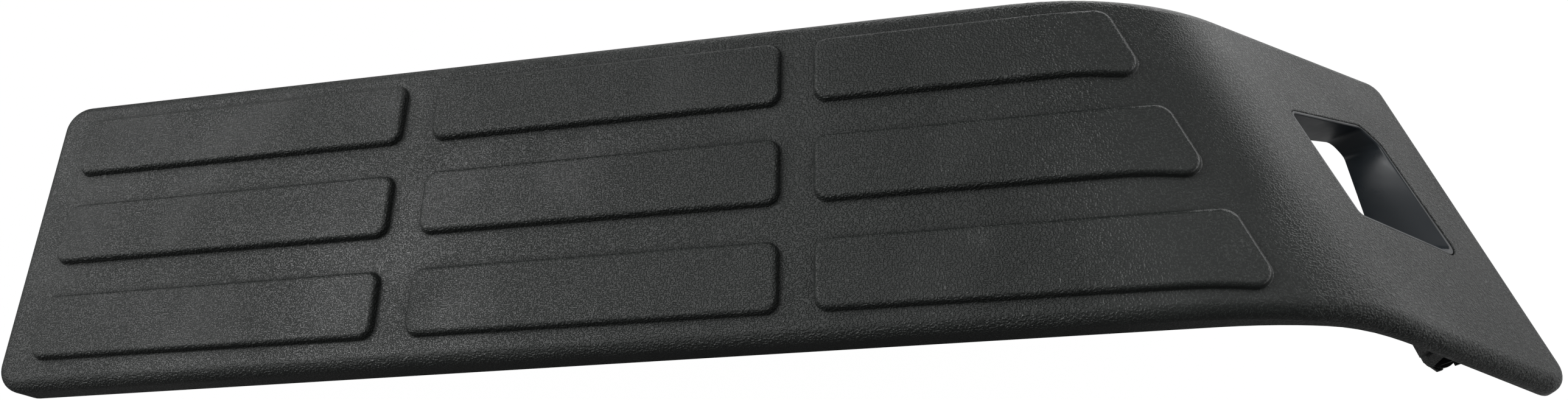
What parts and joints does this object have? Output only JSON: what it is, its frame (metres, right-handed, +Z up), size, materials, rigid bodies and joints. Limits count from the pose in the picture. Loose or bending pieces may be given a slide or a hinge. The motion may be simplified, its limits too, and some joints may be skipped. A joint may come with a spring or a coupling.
{
  "type": "bumper step pad",
  "caption": "Moulded tread pad for the top of a pickup's rear bumper: raised tread bars, a bent-down end with a window, clips underneath.",
  "frame": {"origin": "foot of the main locating pin, on the plane the pad sits on", "axes": "+X along the pad to its bent-down end, +Y to the straight far edge, +Z up through the treads"},
  "size_m": [0.7881, 0.1833, 0.1476],
  "materials": {
    "grained_black_plastic": "leather-grained black moulding, slightly silky",
    "smooth_black_plastic": "smooth glossy blue-black",
    "clip_nylon": "dark natural nylon",
    "foam_seal": "closed-cell foam"
  },
  "bodies": {
    "pad": {"step_pad": "grained_black_plastic", "window_liner": "smooth_black_plastic"},
    "clip_body_1": {"clip_1": "clip_nylon", "clip_seal_1": "foam_seal"},
    "clip_body_2": {"clip_2": "clip_nylon", "clip_seal_2": "foam_seal"},
    "clip_body_3": {"clip_3": "clip_nylon", "clip_seal_3": "foam_seal"},
    "clip_body_4": {"clip_4": "clip_nylon", "clip_seal_4": "foam_seal"},
    "clip_body_5": {"clip_5": "clip_nylon", "clip_seal_5": "foam_seal"},
    "clip_body_6": {"clip_6": "clip_nylon", "clip_seal_6": "foam_seal"},
    "clip_body_7": {"clip_7": "clip_nylon", "clip_seal_7": "foam_seal"},
    "clip_body_8": {"clip_8": "clip_nylon", "clip_seal_8": "foam_seal"},
    "clip_body_9": {"clip_9": "clip_nylon", "clip_seal_9": "foam_seal"},
    "clip_body_10": {"clip_10": "clip_nylon", "clip_seal_10": "foam_seal"}
  },
  "joints": [
    {"name": "clip_1_slide", "type": "slide", "parent": "pad", "child": "clip_body_1", "axis": [1, 0, 0], "range_m": [0, 0.016]},
    {"name": "clip_2_slide", "type": "slide", "parent": "pad", "child": "clip_body_2", "axis": [1, 0, 0], "range_m": [0, 0.016]},
    {"name": "clip_3_slide", "type": "slide", "parent": "pad", "child": "clip_body_3", "axis": [1, 0, 0], "range_m": [0, 0.016]},
    {"name": "clip_4_slide", "type": "slide", "parent": "pad", "child": "clip_body_4", "axis": [1, 0, 0], "range_m": [0, 0.016]},
    {"name": "clip_5_slide", "type": "slide", "parent": "pad", "child": "clip_body_5", "axis": [1, 0, 0], "range_m": [0, 0.016]},
    {"name": "clip_6_slide", "type": "slide", "parent": "pad", "child": "clip_body_6", "axis": [1, 0, 0], "range_m": [0, 0.016]},
    {"name": "clip_7_slide", "type": "slide", "parent": "pad", "child": "clip_body_7", "axis": [1, 0, 0], "range_m": [0, 0.016]},
    {"name": "clip_8_slide", "type": "slide", "parent": "pad", "child": "clip_body_8", "axis": [1, 0, 0], "range_m": [0, 0.016]},
    {"name": "clip_9_slide", "type": "slide", "parent": "pad", "child": "clip_body_9", "axis": [0.2924, -0.9563, 0], "range_m": [0, 0.016]},
    {"name": "clip_10_slide", "type": "slide", "parent": "pad", "child": "clip_body_10", "axis": [-1, 0, 0], "range_m": [0, 0.016]}
  ]
}
